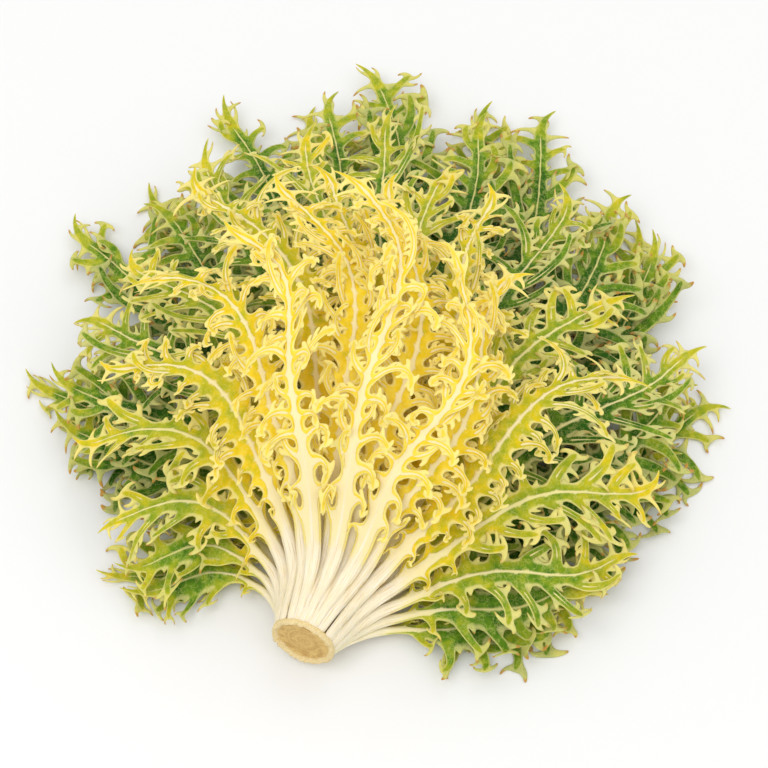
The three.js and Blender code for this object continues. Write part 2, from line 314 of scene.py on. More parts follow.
# What the lobes of the green, the lime and the yellow leaves look like, in millimetres and degrees
lobeForms = dict(
    leaf_green=dict(length=26, hook=(25, 105), backHook=0.45, lift=12, curl=(0, 34), twist=22,
                    halfWidths=(3.6, 2.9, 2.6, 2.0, 0.8), step=4.6, fingers=4.2, fingerLength=(6, 10),
                    fingerBend=(50, 110), fingerTip=0.2, web=4.2, vein=0.8, veinWidth=0.28, cream=0.2,
                    rowStep=3.1, everyRows=4),
    leaf_lime=dict(length=25, hook=(25, 105), backHook=0.35, lift=16, curl=(5, 48), twist=28,
                   halfWidths=(2.7, 2.1, 1.9, 1.5, 0.7), step=4.0, fingers=5.6, fingerLength=(4, 7.5),
                   fingerBend=(60, 130), fingerTip=0.24, web=3.2, vein=0.85, veinWidth=0.36, cream=0.4,
                   rowStep=3.1, everyRows=4),
    leaf_yellow=dict(length=20, hook=(60, 190), backHook=0.3, lift=22, curl=(5, 55), twist=30,
                     halfWidths=(1.7, 1.25, 1.1, 0.95, 0.5), step=3.1, fingers=7.8,
                     fingerLength=(2.4, 4.4), fingerBend=(80, 170), fingerTip=0.42, web=1.2,
                     vein=0.9, veinWidth=0.48, cream=0.8, rowStep=2.5, everyRows=3),
)

# Lobes along a leaf: every third one is a longer branch, and none is longer than its room
lobeShape = dict(firstAt=27, firstShare=0.6, leave=(60, 40), leaveJitter=9, firstLength=0.36, growFrom=-0.25,
                 fullAt=0.15, fadeFrom=0.65, lastLength=0.6, hiddenStep=4, lengths=(0.7, 0.9, 1.0, 1.15),
                 branchEvery=3, branchBefore=0.8, branchLength=1.75, branchLeave=-20, roomShare=0.5,
                 leastRoom=4, fewestSteps=4, hookGrowth=(0.4, 1.2), backHook=0.6, smallBonus=0.25,
                 channel=0.35, thick=1.0, rootThick=1.2, tipThick=0.75, veinThick=1.5, veinFade=0.6,
                 fadePower=1.5, rootVein=0.6, edgeCream=0.45)

fingerShape = dict(longFrom=4, longSteps=3, shortSteps=2, root=0.78, narrowing=1.5, lean=(-0.3, 0.2),
                   backShare=0.6, backLean=(0.4, 1.0), veinWidth=0.1, cream=0.2, across=0.5, tipFrom=0.3)


# A sickle-shaped finger grown from an edge between two points. Its bend is toward the
# lobe's end where it is positive, and back toward the rib where it is negative
def growFinger(cage, first, last, outward, forward, lean, length, bend, tip, values):
    steps = fingerShape["longSteps" if length > fingerShape["longFrom"] else "shortSteps"]
    centre = (first.co + last.co) / 2
    half = (last.co - first.co) / 2
    heading = (outward + forward * lean).normalized()
    turn = Quaternion(outward.cross(forward).normalized(), bend / steps)
    row = [first, last]
    for step in range(1, steps + 1):
        share = step / steps
        heading = turn @ heading
        half = turn @ half
        centre = centre + heading * length / steps
        wide = half * mix(fingerShape["root"], tip, share ** fingerShape["narrowing"])
        row = cage.grow(row, [centre - wide, centre + wide])
        for vert in row:
            cage.paint(vert, mix(lobeShape["thick"], lobeShape["tipThick"], share),
                       tip=smooth(share, fingerShape["tipFrom"], 1), **values)


def growLobe(cage, rng, base, side, length, leave, form, tone, long):
    steps = max(round(length / form["step"]), lobeShape["fewestSteps"])
    backward = -1 if rng.random() < form["backHook"] else 1
    hook = math.radians(rng.uniform(*form["hook"])) * (-lobeShape["backHook"] if backward < 0 else 1)
    curl = math.radians(rng.uniform(*form["curl"]))
    heading = math.radians(leave + rng.uniform(-1, 1) * lobeShape["leaveJitter"])
    lift = math.radians(rng.uniform(-1, 1) * form["lift"])
    twist = math.radians(rng.uniform(-1, 1) * form["twist"])
    small = min(length / form["length"] + lobeShape["smallBonus"], 1)
    fingers = form["fingers"] * length / form["length"]
    centre = base[1].co.copy()
    rows = [base]
    frames = [None]
    for step in range(1, steps + 1):
        share = step / steps
        heading += hook * (lobeShape["hookGrowth"][0] + lobeShape["hookGrowth"][1] * share) / steps
        lift += curl / steps
        flat = Vector((side * math.sin(heading), math.cos(heading), 0))
        over = Vector((-side * math.cos(heading), math.sin(heading), 0))
        forward = flat * math.cos(lift) + Vector((0, 0, math.sin(lift)))
        normal = Vector((0, 0, math.cos(lift))) - flat * math.sin(lift)
        turned = over * math.cos(twist * share) + normal * math.sin(twist * share)
        normal = normal * math.cos(twist * share) - over * math.sin(twist * share)
        centre = centre + forward * length / steps
        half = along(form["halfWidths"], share) * small
        keel = centre - normal * lobeShape["channel"] * half
        row = cage.grow(rows[-1], [centre - turned * half, keel, centre + turned * half])
        for across, vert in zip((-1, 0, 1), row):
            fading = 1 - lobeShape["veinFade"] * share ** lobeShape["fadePower"]
            middle = across == 0
            cage.paint(vert, mix(lobeShape["veinThick" if middle else "thick"], lobeShape["tipThick"], share),
                       vein=form["vein"] * fading if middle else 0, width=form["veinWidth"],
                       cream=form["cream"] * fading * (1 if middle else lobeShape["edgeCream"]),
                       across=across, tone=tone - tones["lobeTipLighter"] * share,
                       lengthwise=long + share * length)
        rows.append(row)
        frames.append((forward, turned))
    growFingers(cage, rng, rows, frames, backward, small, fingers, form, dict(
        vein=0, width=fingerShape["veinWidth"], cream=fingerShape["cream"] * form["cream"],
        tone=tone - tones["lobeTipLighter"], across=fingerShape["across"], lengthwise=long))


# Fingers stand along a lobe's edges, most of them on its outer curve and near its end
def growFingers(cage, rng, rows, frames, outerCurve, small, fingers, form, values):
    last = len(rows) - 2
    places = [(step, edge) for step in range(last, 0, -1) for edge in ((2, 0) if outerCurve > 0 else (0, 2))]
    chosen = places[:2] + rng.sample(places[2:], k=min(max(round(fingers) - 2, 0), len(places) - 2))
    for step, edge in chosen:
        forward, turned = frames[step + 1]
        outward = turned if edge == 2 else -turned
        bend = math.radians(rng.uniform(*form["fingerBend"]))
        lean = rng.uniform(*fingerShape["lean"])
        if rng.random() < fingerShape["backShare"]:
            bend = -bend
            lean = rng.uniform(*fingerShape["backLean"])
        size = rng.uniform(*form["fingerLength"]) * small
        growFinger(cage, rows[step][edge], rows[step + 1][edge], outward, forward, lean, size, bend,
                   form["fingerTip"], values)


def ribHalfWidth(rib, u):
    narrowFrom, narrowTo = ribShape["narrowing" if rib.order < crest else "crestNarrowing"]
    wide = mix(rib.ribWidest, rib.ribWidest * ribShape["narrowed"],
               smooth(u, narrowFrom * rib.petiole, narrowTo * rib.petiole))
    wide *= mix(1, ribShape["tipNarrowed"],
                smooth(u, rib.petiole + ribShape["tipFrom"], ribShape["tipTo"] * rib.length))
    return min(wide, mix(neck["rimHalfWidth"], neck["endHalfWidth"], smooth(u, neck["rimAt"], neck["end"]))
               + max(u - neck["end"], 0) * neck["flare"])


# The blade beside the rib: its waves, how thick the rib is at even steps from root to tip, and
# where its cream gives way to green
bladeShape = dict(neckRows=6, petioleStep=5, petioleEnd=3, webLength=30, webTo=0.8, webFades=(0.55, 0.9),
                  lastWeb=0.7, wave=0.9, waveStep=6.5, keel=0.3, depths=(2.2, 3.4, 2.6, 1.7, 1.4, 1.2),
                  edgeDepth=0.62, bareFades=(0.35, 0.75), creamFrom=0.45, creamTo=30,
                  heartPale=(0.55, 1.1), heartPaleAlong=(24, 55), veinWidth=0.9)

# A finger between two lobes, where they are far enough apart
gapFinger = dict(leastLobe=9, leastRows=4, rise=(-0.3, 0.5), lean=(0.2, 0.8), length=(2.5, 5), bend=0.9,
                 cream=0.1)


def growLeaf(rib):
    form = lobeForms[rib.whorl["colour"]]
    rng = random.Random(rib.seed)
    cage = LeafCage()
    rows = growBlade(cage, rng, rib, form)
    growLobes(cage, rng, rows, rib, form)
    growTerminal(cage, rng, rows[-1], rib, form)
    return cage


def lobeStart(rib):
    return min(lobeShape["firstShare"] * rib.petiole, lobeShape["firstAt"])


def bladeEnd(rib):
    return rib.length - blade["terminal"] * rib.size


# Places along the rib of the blade's rows: the neck's, the petiole's, and an odd number for the lobes
def bladeStations(rib, form):
    neckStart = neck["end"] - rib.neckLength
    neckRows = bladeShape["neckRows"]
    stations = [mix(neckStart, neck["end"], step / neckRows) for step in range(neckRows)]
    u = neck["end"]
    while u < lobeStart(rib) - bladeShape["petioleEnd"]:
        stations.append(u)
        u += bladeShape["petioleStep"]
    count = 2 * round((bladeEnd(rib) - lobeStart(rib)) / form["rowStep"] / 2)
    lobed = [mix(lobeStart(rib), bladeEnd(rib), step / count) for step in range(count + 1)]
    return stations + lobed, len(stations)


# Grows the rib with the narrow blade beside it, and returns the rows that lobes can stand on
def growBlade(cage, rng, rib, form):
    stations, firstLobed = bladeStations(rib, form)
    phase = rng.uniform(0, 6)
    rows = []
    webEnd = max(lobeStart(rib) + bladeShape["webLength"], bladeShape["webTo"] * rib.petiole)
    fadeFrom, fadeTo = bladeShape["webFades"]
    bareFrom, bareTo = bladeShape["bareFades"]
    for u in stations:
        ribHalf = ribHalfWidth(rib, u)
        webbed = smooth(u, lobeStart(rib), webEnd)
        half = ribHalf + mix(rib.whorl["web"], bladeShape["lastWeb"] * form["web"],
                             smooth(u, fadeFrom * rib.length, fadeTo * rib.length)) * webbed
        wave = bladeShape["wave"] * webbed * math.sin(phase + u / bladeShape["waveStep"])
        places = [Vector((-half, u, wave)), Vector((0, u, bladeShape["keel"])), Vector((half, u, -wave))]
        if rows:
            row = cage.grow(rows[-1], places)
        else:
            row = [cage.mesh.verts.new(place) for place in places]
            for pair in zip(row, row[1:]):
                cage.mesh.edges.new(pair)
        share = max(u, 0) / rib.length
        # Painted shade: the midrib, and in the green leaves the whole blade beside it, are made greener,
        # darker toward the leaf's middle as if shaded between its lobes
        tone = (-rib.endLighter * smooth(share, tones["endFrom"], 1)
                + (tones["bladeShadeGreener"] if rib.whorl["colour"] == "leaf_green" else 0))
        deep = along(bladeShape["depths"], share)
        edge = bladeShape["edgeDepth"] * deep
        bare = 1 - smooth(u, bareFrom * rib.petiole, bareTo * rib.petiole)
        pale = mix(1, form["cream"], smooth(u, bladeShape["creamFrom"] * rib.petiole,
                                            rib.petiole + bladeShape["creamTo"]))
        if rib.order < crest:
            away = heartDistance(rib.place(0, max(u, 0), 0))
            pale *= mix(1, smooth(away, *bladeShape["heartPale"]), smooth(u, *bladeShape["heartPaleAlong"]))
        for across, vert in zip((-1, 0, 1), row):
            middle = across == 0
            cage.paint(vert, deep if middle else mix(lobeShape["thick"], edge, bare),
                       vein=1 if middle else 0, width=ribHalf / half * bladeShape["veinWidth"],
                       tone=tone + (tones["midribShadeGreener"] if middle else 0), across=across,
                       cream=pale if middle else pale * bare, lengthwise=u)
        rows.append(row)
    return rows[firstLobed:]


def growLobes(cage, rng, rows, rib, form):
    count = len(rows) - 1
    for side, first in ((-1, 0), (1, 2)):
        number = 0
        base = first
        while base < count - 1:
            u = rows[base + 1][1].co.y
            share = (u - rib.petiole) / (bladeEnd(rib) - rib.petiole)
            grown = smooth(share, lobeShape["growFrom"], lobeShape["fullAt"])
            growth = mix(lobeShape["firstLength"], 1, grown)
            fading = mix(1, lobeShape["lastLength"], smooth(share, lobeShape["fadeFrom"], 1))
            length = form["length"] * rib.size * growth * fading * rng.choice(lobeShape["lengths"])
            leave = mix(*lobeShape["leave"], min(max(share, 0), 1))
            if 0 < share < lobeShape["branchBefore"] and (number + side) % lobeShape["branchEvery"] == 0:
                length *= lobeShape["branchLength"]
                leave += lobeShape["branchLeave"]
            room = lobeShape["roomShare"] * rib.roomPerLength * (u + rib.rootRadius)
            length = min(length, room + lobeShape["leastRoom"])
            front = [rows[base + step][1 + side] for step in range(3)]
            tone = -rib.endLighter * smooth(u / rib.length, tones["endFrom"], 1)
            cage.paint(front[1], lobeShape["thick"] * lobeShape["rootThick"],
                       vein=lobeShape["rootVein"] * form["vein"], tone=tone)
            growLobe(cage, rng, front, side, length, leave, form, tone, u)
            apart = form["everyRows"] >= gapFinger["leastRows"] and u > rib.hidden
            if base + 3 <= count and length > gapFinger["leastLobe"] and apart:
                after = rows[base + 2][1 + side]
                gap = rows[base + 3][1 + side]
                outward = Vector((side, 0, rng.uniform(*gapFinger["rise"]))).normalized()
                growFinger(cage, after, gap, outward, Vector((0, 1, 0)), rng.uniform(*gapFinger["lean"]),
                           rng.uniform(*gapFinger["length"]) * rib.size,
                           rng.uniform(-gapFinger["bend"], gapFinger["bend"]), form["fingerTip"],
                           dict(vein=0, width=fingerShape["veinWidth"], cream=gapFinger["cream"], tone=tone,
                                across=side, lengthwise=u))
            number += 1
            base += form["everyRows"] + (lobeShape["hiddenStep"] if u < rib.hidden else 0)


# The leaf's end: the rib runs out in a long hooked finger with shorter ones beside it, two
# pairs whose first is on either side
endShape = dict(length=1.25, steps=6, turn=(35, 75), turnGrowth=1.6, rise=(0, 30), keel=0.3,
                halfWidths=(4.2, 3.2, 2.6, 1.9, 1.3, 0.8, 0.25), veinFade=0.6, cream=0.5,
                fingers=((0, -1, 13), (1, 1, 12), (2, -1, 8), (3, 1, 7)), fingerLean=(0.5, 1.1),
                fingerLength=(0.85, 1.15), fingerBend=(40, 90), fingerTip=0.2, fingerCream=0.1)


def growTerminal(cage, rng, base, rib, form):
    long = endShape["length"] * blade["terminal"] * rib.size
    steps = endShape["steps"]
    turn = math.radians(rng.uniform(*endShape["turn"])) * rng.choice((-1, 1))
    rise = math.radians(rng.uniform(*endShape["rise"]))
    heading = 0
    lift = 0
    tone = -rib.endLighter - tones["terminalLighter"]
    centre = base[1].co.copy()
    rows = [base]
    frames = [None]
    for step in range(1, steps + 1):
        share = step / steps
        heading += turn * share / steps * endShape["turnGrowth"]
        lift += rise / steps
        forward = Vector((math.sin(heading) * math.cos(lift), math.cos(heading) * math.cos(lift),
                          math.sin(lift)))
        over = Vector((math.cos(heading), -math.sin(heading), 0))
        normal = over.cross(forward)
        centre = centre + forward * long / steps
        half = along(endShape["halfWidths"], share) * rib.size
        keel = centre - normal * endShape["keel"] * half
        row = cage.grow(rows[-1], [centre - over * half, keel, centre + over * half])
        for across, vert in zip((-1, 0, 1), row):
            middle = across == 0
            cage.paint(vert, mix(lobeShape["veinThick" if middle else "thick"], lobeShape["tipThick"], share),
                       vein=form["vein"] * (1 - endShape["veinFade"] * share) if middle else 0,
                       width=form["veinWidth"], cream=endShape["cream"] * form["cream"], tone=tone,
                       across=across, lengthwise=rib.length)
        rows.append(row)
        frames.append((forward, over))
    values = dict(vein=0, width=fingerShape["veinWidth"], cream=endShape["fingerCream"], tone=tone,
                  across=fingerShape["across"], lengthwise=rib.length)
    first = rng.choice((0, 1))
    for place, side, size in endShape["fingers"]:
        step = place - side * first
        forward, over = frames[step + 1]
        edge = 1 + side
        growFinger(cage, rows[step][edge], rows[step + 1][edge], over * side, forward,
                   rng.uniform(*endShape["fingerLean"]),
                   size * rib.size * rng.uniform(*endShape["fingerLength"]),
                   math.radians(rng.choice((-1, -1, 1)) * rng.uniform(*endShape["fingerBend"])),
                   endShape["fingerTip"], values)


def pieceOf(name, bm):
    mesh = bpy.data.meshes.new(name)
    bm.to_mesh(mesh)
    bm.free()
    piece = bpy.data.objects.new(name, mesh)
    bpy.context.collection.objects.link(piece)
    return piece


# How a leaf keeps clear of the table and under the head's height, above which it is pressed down
limits = dict(clear=0.2, highest=117, pressed=0.65)


def makeLeaf(rib, material):
    cage = growLeaf(rib)
    bm = cage.mesh
    bmesh.ops.recalc_face_normals(bm, faces=bm.faces)
    bm.normal_update()
    bm.faces.ensure_lookup_table()
    if bm.faces[0].normal.z < 0:
        bmesh.ops.reverse_faces(bm, faces=bm.faces)
    margin = cage.layers["margin"]
    tone = cage.layers["tone"]
    stemAt = Vector((stemCentre.x, stemCentre.y, 0))
    for vert in bm.verts:
        vert[margin] = 1.0 if vert.is_boundary else 0.0
        point = rib.place(*vert.co)
        least = (tones["leastGreen"] * rib.whorl["tone"]
                 * smooth(vert.co.y / rib.length, *tones["leastFrom"]))
        vert[tone] = max(vert[tone] + rib.greenness(point), least)
        point.z = max(point.z, limits["clear"] + 0.5 * thickest * vert[cage.depth][0])
        point.z -= limits["pressed"] * max(point.z - limits["highest"], 0)
        vert.co = (point + stemAt) * mm
    for face in bm.faces:
        face.smooth = True
    piece = pieceOf(rib.name + "_blade", bm)
    piece.vertex_groups.new(name="depth")
    wall = piece.modifiers.new("wall", "SOLIDIFY")
    wall.thickness = thickest * mm
    wall.offset = 0
    wall.vertex_group = "depth"
    soft = piece.modifiers.new("soft", "SUBSURF")
    soft.levels = 1
    soft.render_levels = 1
    piece.data.materials.append(material)
    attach(piece, "root")
    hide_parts(rib.name)


# Materials. A Wire is a socket that sums can be written on

class Wire:
    def __init__(self, finish, socket):
        self.finish = finish
        self.socket = socket

    def sum(self, operation, first, second):
        node = self.finish.node("ShaderNodeMath", dict(operation=operation), {0: first, 1: second})
        return Wire(self.finish, node.outputs[0])

    def __add__(self, other):
        return self.sum("ADD", self, other)

    def __radd__(self, other):
        return self.sum("ADD", other, self)

    def __sub__(self, other):
        return self.sum("SUBTRACT", self, other)

    def __rsub__(self, other):
        return self.sum("SUBTRACT", other, self)

    def __mul__(self, other):
        return self.sum("MULTIPLY", self, other)

    def __rmul__(self, other):
        return self.sum("MULTIPLY", other, self)


class Finish:
    def __init__(self, name):
        self.material = bpy.data.materials.new(name)
        self.material.use_nodes = True
        self.tree = self.material.node_tree
        self.tree.nodes.clear()

    def node(self, kind, settings, sockets):
        made = self.tree.nodes.new(kind)
        for setting, value in settings.items():
            if setting == "stops":
                self.setStops(made.color_ramp, value)
            else:
                setattr(made, setting, value)
        for socket, value in sockets.items():
            if isinstance(value, Wire):
                self.tree.links.new(value.socket, made.inputs[socket])
            else:
                made.inputs[socket].default_value = value
        return made

    def setStops(self, ramp, stops):
        while len(ramp.elements) > 1:
            ramp.elements.remove(ramp.elements[-1])
        for place, shade in stops:
            stop = ramp.elements.new(place)
            stop.color = shade
        ramp.elements.remove(ramp.elements[0])

    def wire(self, kind, settings, sockets, output=0):
        return Wire(self, self.node(kind, settings, sockets).outputs[output])

    def attribute(self, name, output="Fac"):
        return self.wire("ShaderNodeAttribute", dict(attribute_name=name), {}, output)

    def noise(self, place, scale, detail=3.0, roughness=0.55):
        return self.wire("ShaderNodeTexNoise", {}, {"Vector": place, "Scale": scale, "Detail": detail,
                                                    "Roughness": roughness})

    def between(self, value, low, high):
        return self.wire("ShaderNodeMapRange", dict(interpolation_type="SMOOTHSTEP"),
                         {0: value, 1: low, 2: high})

    def blend(self, share, first, second):
        return self.wire("ShaderNodeMix", dict(data_type="RGBA"), {0: share, 6: first, 7: second}, 2)

    def ramp(self, value, stops):
        return self.wire("ShaderNodeValToRGB", dict(stops=stops), {0: value})

    def bump(self, height, strength, distance):
        return self.wire("ShaderNodeBump", {}, {"Height": height, "Strength": strength,
                                                "Distance": distance})

    def surface(self, sockets):
        shader = self.node("ShaderNodeBsdfPrincipled", {}, sockets)
        output = self.node("ShaderNodeOutputMaterial", {}, {})
        self.tree.links.new(shader.outputs[0], output.inputs[0])
        return self.material


def tint(code):
    shades = [int(code[place:place + 2], 16) / 255 for place in (0, 2, 4)]
    return tuple(shade / 12.92 if shade < 0.04045 else ((shade + 0.055) / 1.055) ** 2.4
                 for shade in shades) + (1.0,)


# A leaf's colours, the scales of its patterns in cells to a metre, and the values between which
# each colour comes in
leafLook = dict(
    tones=((0.0, "FADC48"), (0.1, "F6D42A"), (0.2, "EDCB18"), (0.3, "DAC516"), (0.45, "BEB91E"),
           (0.62, "98A61E"), (0.8, "658C18"), (1.0, "2F610E")),
    cream="FDF3DC", creamWarm="F3E3BE", ribYellow="F9E9B4", ribLine="D3AC62", ribGreen="DCE0A2",
    veinPale="EFE58E", edgePale="FAEBA0", tipBrown="BE8438",
    blotch=75.0, blotchShade=0.55, blister=240.0, blisterShade=0.5, cell=260.0, stray=420.0,
    straying=0.0035, netFades=(0.09, 0.0), netStrength=0.22, strand=(5.5, 0.035, 9.0), strandScale=2.2,
    edgeFades=(0.7, 1.0), tipWander=1.4, tipFades=(0.4, 0.85), creamFades=(0.35, 0.68),
    lineFades=(0.37, 0.3), lineStrength=0.5, greenFades=(0.35, 1.1), greenStrength=0.5,
    yellowFades=(0.8, 1.0), paleFades=(0.25, 0.6), veinFades=(0.0, 0.75), ribEdge=(0.96, 1.1),
    ribFades=(0.62, 1.0), ribHeight=0.8, blisterHeight=0.9, strandHeight=0.3,
    bump=0.5, bumpDepth=0.0008, roughness=0.46, blisterRoughness=0.14, specular=0.12,
    subsurface=0.15, subsurfaceRadius=(0.7, 0.6, 0.05), subsurfaceScale=0.004,
)


def leafFinish(name, veinStrength, edgeStrength, tipStrength):
    finish = Finish(name)
    place = finish.wire("ShaderNodeTexCoord", {}, {}, "Object")
    vein, width, cream, margin, tone, tip = [
        finish.attribute(field) for field in ("vein", "width", "cream", "margin", "tone", "tip")]
    blotches = finish.noise(place, leafLook["blotch"], 2.0, 0.6)
    blisters = finish.noise(place, leafLook["blister"], 1.0, 0.5)
    strands = leafStrands(finish, tone)

    # Tissue: blotched and blistered, with a fine net of veins, pale edges and dry tips
    shade = (tone + (blotches - 0.5) * leafLook["blotchShade"]
             + (blisters - 0.5) * leafLook["blisterShade"])
    tissue = finish.ramp(shade, [(at, tint(code)) for at, code in leafLook["tones"]])
    net = finish.between(leafNet(finish, place), *leafLook["netFades"]) * leafLook["netStrength"]
    tissue = finish.blend(net, tissue, tint(leafLook["veinPale"]))
    edge = finish.between(margin, *leafLook["edgeFades"]) * edgeStrength
    tissue = finish.blend(edge, tissue, tint(leafLook["edgePale"]))
    dry = finish.between(tip + (blotches - 0.5) * leafLook["tipWander"], *leafLook["tipFades"])
    tissue = finish.blend(dry * tipStrength, tissue, tint(leafLook["tipBrown"]))

    # Rib and veins: cream with lengthwise lines, greener outside and yellower in the heart
    ribTint = finish.blend(finish.between(strands, *leafLook["creamFades"]),
                           tint(leafLook["creamWarm"]), tint(leafLook["cream"]))
    lines = finish.between(strands, *leafLook["lineFades"]) * leafLook["lineStrength"]
    ribTint = finish.blend(lines, ribTint, tint(leafLook["ribLine"]))
    green = finish.between(tone, *leafLook["greenFades"]) * leafLook["greenStrength"]
    ribTint = finish.blend(green, ribTint, tint(leafLook["ribGreen"]))
    ribTint = finish.blend(finish.between(cream, *leafLook["yellowFades"]),
                           tint(leafLook["ribYellow"]), ribTint)
    veinTint = finish.blend(finish.between(tone, *leafLook["paleFades"]),
                            tint(leafLook["ribYellow"]), tint(leafLook["veinPale"]))
    veinTint = finish.blend(finish.between(cream, *leafLook["veinFades"]), veinTint, ribTint)
    ribMask = finish.between(vein + width, *leafLook["ribEdge"])
    colour = finish.blend(finish.between(cream, *leafLook["ribFades"]), tissue, ribTint)
    colour = finish.blend(ribMask * veinStrength, colour, veinTint)
    height = (ribMask * leafLook["ribHeight"] + blisters * leafLook["blisterHeight"]
              + strands * leafLook["strandHeight"])
    return finish.surface({
        "Base Color": colour, "Roughness": leafLook["roughness"] + blisters * leafLook["blisterRoughness"],
        "Normal": finish.bump(height, leafLook["bump"], leafLook["bumpDepth"]),
        "Subsurface Weight": leafLook["subsurface"], "Subsurface Radius": leafLook["subsurfaceRadius"],
        "Subsurface Scale": leafLook["subsurfaceScale"], "Specular IOR Level": leafLook["specular"],
    })


# The edges of small cells, their outlines strayed by noise
def leafNet(finish, place):
    stray = finish.wire("ShaderNodeTexNoise", {},
                        {"Vector": place, "Scale": leafLook["stray"], "Detail": 1.0}, 1)
    bent = finish.wire("ShaderNodeMix", dict(data_type="RGBA", blend_type="LINEAR_LIGHT"),
                       {0: leafLook["straying"], 6: place, 7: stray}, 2)
    return finish.wire("ShaderNodeTexVoronoi", dict(feature="DISTANCE_TO_EDGE"),
                       {"Vector": bent, "Scale": leafLook["cell"]})


# Strands that run the length of a rib, closer across it than along it
def leafStrands(finish, tone):
    across, lengthwise, other = leafLook["strand"]
    place = finish.wire("ShaderNodeCombineXYZ", {}, {
        0: finish.attribute("across") * across, 1: finish.attribute("lengthwise") * lengthwise,
        2: tone * other})
    return finish.noise(place, leafLook["strandScale"], 1.0, 0.6)


leafFinishes = dict(
    leaf_green=leafFinish("endive_green_leaf", veinStrength=0.85, edgeStrength=0.42, tipStrength=0.85),
    leaf_lime=leafFinish("endive_lime_leaf", veinStrength=0.9, edgeStrength=0.56, tipStrength=0.4),
    leaf_yellow=leafFinish("endive_yellow_leaf", veinStrength=0.95, edgeStrength=0.65, tipStrength=0.0),
)
print("leaf materials made")

for order, whorl in enumerate(whorls):
    for leaf in range(whorl["leaves"]):
        makeLeaf(Rib(order, leaf), leafFinishes[whorl["colour"]])
    print("whorl grown:", whorl["name"])


# The cut stem: a brown dished face, its pale lumpy rim, and the ball that the ribs wrap

cutFace = dict(segments=84, faceRadius=12.1, bendSeed=3.0, bendSize=0.35, lumpSeed=12.0, lumpSize=0.8,
               lump=1.15, pit=0.25, rimFrom=-0.8, rimTo=1.2, rimDeep=3)

cutLook = dict(brown="DDBC74", brownDark="C39C58", ochre="E4C885", rimPale="F3E0B0",
               wanderScale=0.22, fineScale=1.9, ringStep=0.8, ringWander=5.0, ringDrift=4.0,
               brownFades=(0.38, 0.62), ochreFades=(0.5, 0.75), ochreStrength=0.5,
               rimFades=(0.35, 0.65), rimWander=3.0, rimFrom=-1.0, rimTo=0.6, ringHeight=0.6,
               fineHeight=0.6, bump=0.6, bumpDepth=0.0008, roughness=0.55, ringRoughness=0.25,
               specular=0.35)

# The face's profile from its middle to the rim and round into the stem: radius and rise
facePoints = [(1.2, -0.75), (4.0, -0.85), (7.5, -0.9), (10.4, -0.75)]
rimPoints = [(0, -0.35), (0.6, 0.35), (1.3, 0.75), (2.1, 0.6), (2.6, -0.1), (2.5, -1.1), (1.7, -2.2),
             (0, -3.4), (-0.6, -6), (-1.2, -10), (-3, -14)]
deepPoint = (5, -16)


def makeStem():
    flat = stem["ballRadius"] * math.cos(math.asin(stem["cutRadius"] / stem["ballRadius"]))
    ring = cutFace["faceRadius"]
    profile = facePoints + [(ring + out, rise) for out, rise in rimPoints] + [deepPoint]
    profile = [(radius, flat + rise) for radius, rise in profile]
    bm = bmesh.new()
    facePlace = bm.verts.layers.float_vector.new("facePlace")
    made = bmesh.ops.create_circle(bm, segments=cutFace["segments"], radius=profile[0][0])["verts"]
    bmesh.ops.translate(bm, verts=made, vec=(0, 0, profile[0][1]))
    edges = list(bm.edges)
    bmesh.ops.contextual_create(bm, geom=edges)
    for (radius, height), (wider, higher) in zip(profile, profile[1:]):
        grown = bmesh.ops.extrude_edge_only(bm, edges=edges)["geom"]
        edges = [item for item in grown if isinstance(item, bmesh.types.BMEdge)
                 and all(vert in grown for vert in item.verts) and len(item.link_faces) == 1]
        verts = [item for item in grown if isinstance(item, bmesh.types.BMVert)]
        bmesh.ops.scale(bm, verts=verts, vec=(wider / radius, wider / radius, 1))
        bmesh.ops.translate(bm, verts=verts, vec=(0, 0, higher - height))
    bmesh.ops.contextual_create(bm, geom=edges)
    for vert in bm.verts:
        vert[facePlace] = vert.co.copy()
        radius = math.hypot(vert.co.x, vert.co.y)
        onRim = (smooth(radius, ring + cutFace["rimFrom"], ring + cutFace["rimTo"])
                 * smooth(vert.co.z, flat - cutFace["rimDeep"], flat))
        bend = noise.noise(Vector((vert.co.x, vert.co.y, cutFace["bendSeed"])) * cutFace["bendSize"])
        lump = noise.noise(Vector((vert.co.x, vert.co.y, cutFace["lumpSeed"])) * cutFace["lumpSize"])
        vert.co.z += onRim * cutFace["lump"] * (bend + lump) - (1 - onRim) * cutFace["pit"] * abs(lump)
    turn = cutDirection.to_track_quat("Z", "Y").to_matrix().to_4x4()
    bmesh.ops.transform(bm, matrix=Matrix.Translation(stemCentre) @ turn, verts=bm.verts)
    bmesh.ops.scale(bm, verts=bm.verts, vec=(mm, mm, mm))
    bmesh.ops.recalc_face_normals(bm, faces=bm.faces)
    for face in bm.faces:
        face.smooth = True
    piece = pieceOf("cut_stem_face", bm)
    piece.data.materials.append(stemFinish())
    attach(piece, "root")
    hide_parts("cut_stem")


